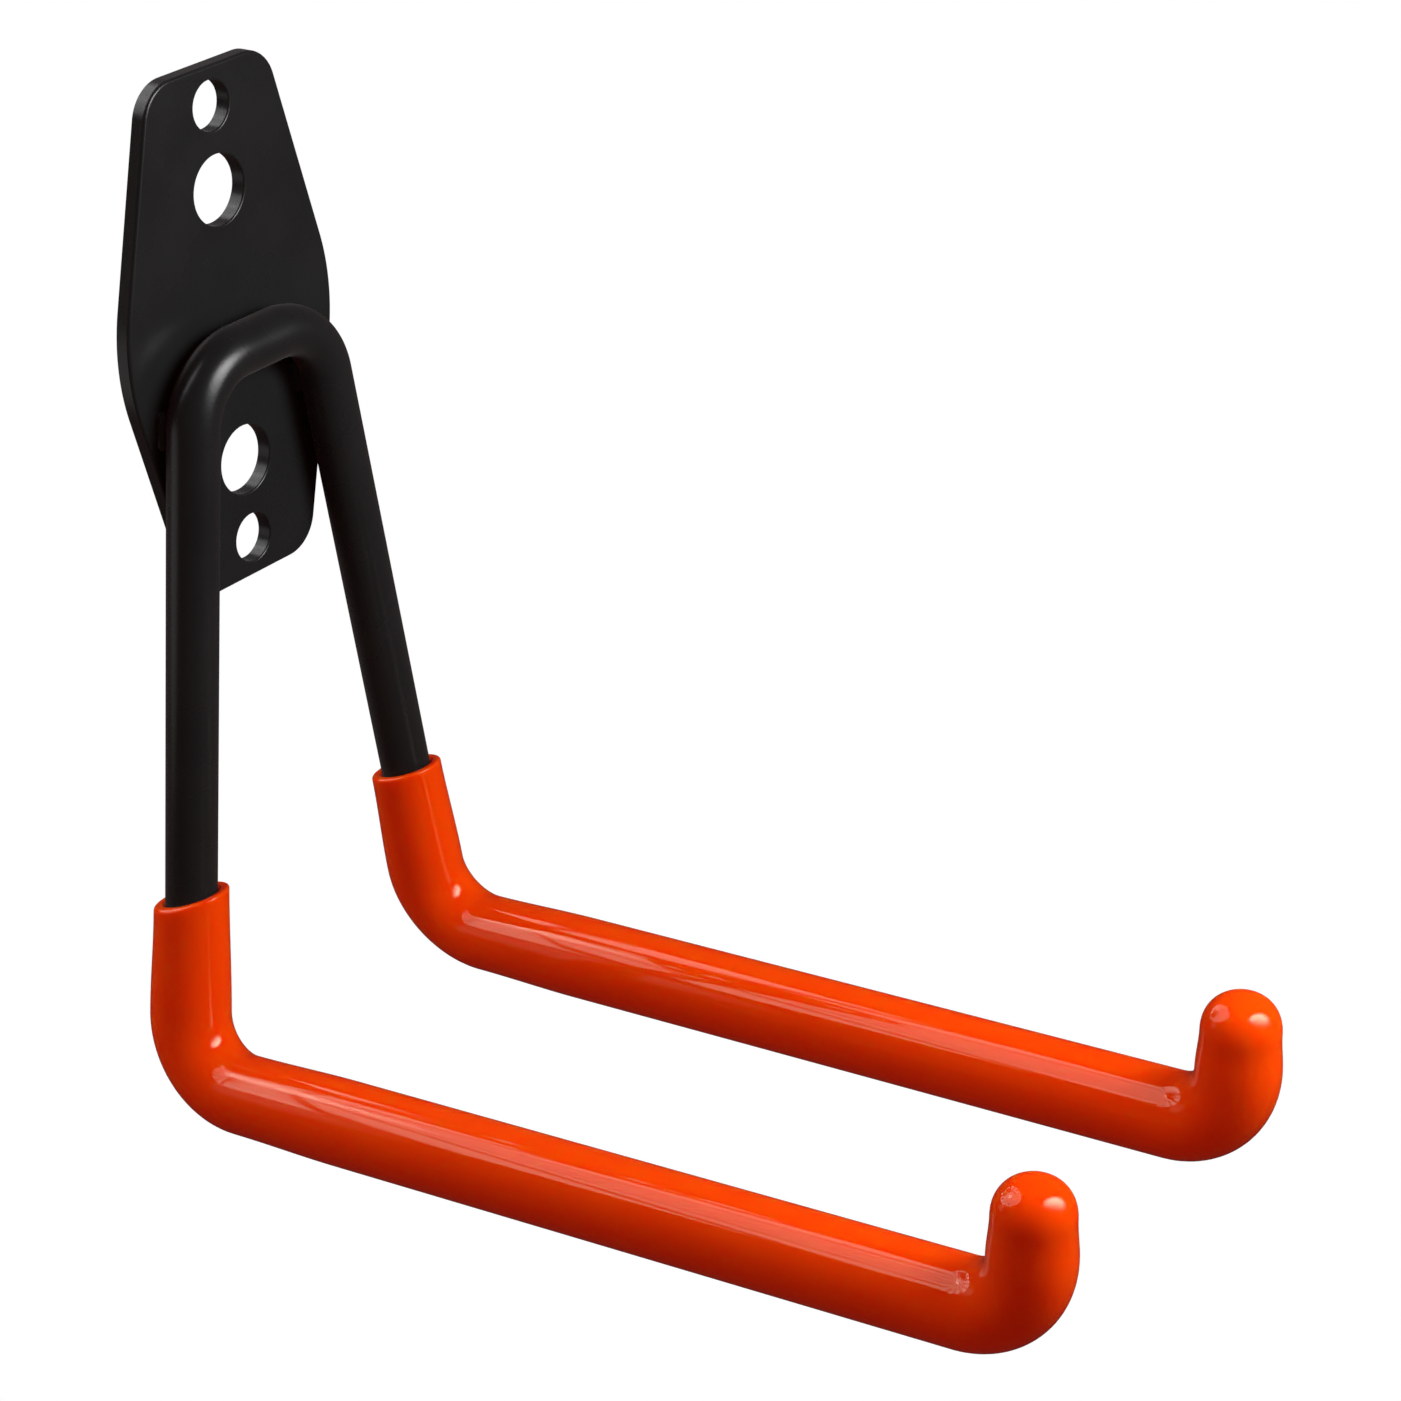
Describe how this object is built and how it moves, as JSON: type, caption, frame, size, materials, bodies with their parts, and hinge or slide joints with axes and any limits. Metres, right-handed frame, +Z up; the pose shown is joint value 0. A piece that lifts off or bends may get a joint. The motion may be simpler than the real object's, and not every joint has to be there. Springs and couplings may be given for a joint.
{
  "type": "garage utility hook",
  "caption": "Wall-mounted storage hook: a drilled steel plate, a bent round rod with forward arms and turned-up ends, and soft plastic sleeves over the arms.",
  "frame": {"origin": "centre of the wall plate's back face, which lies on the wall", "axes": "+Y into the wall, the arms point along -Y into the room, +Z up, +X to the right seen from the room"},
  "size_m": [0.073, 0.1642, 0.1588],
  "materials": {
    "black_coat": "satin black powder coat on steel",
    "orange_sleeve": "glossy soft orange plastic, dip-moulded"
  },
  "bodies": {
    "root": {"wall_plate": "black_coat", "hook_rod": "black_coat", "weld_seams": "black_coat", "left_sleeve": "orange_sleeve", "right_sleeve": "orange_sleeve"}
  },
  "joints": []
}
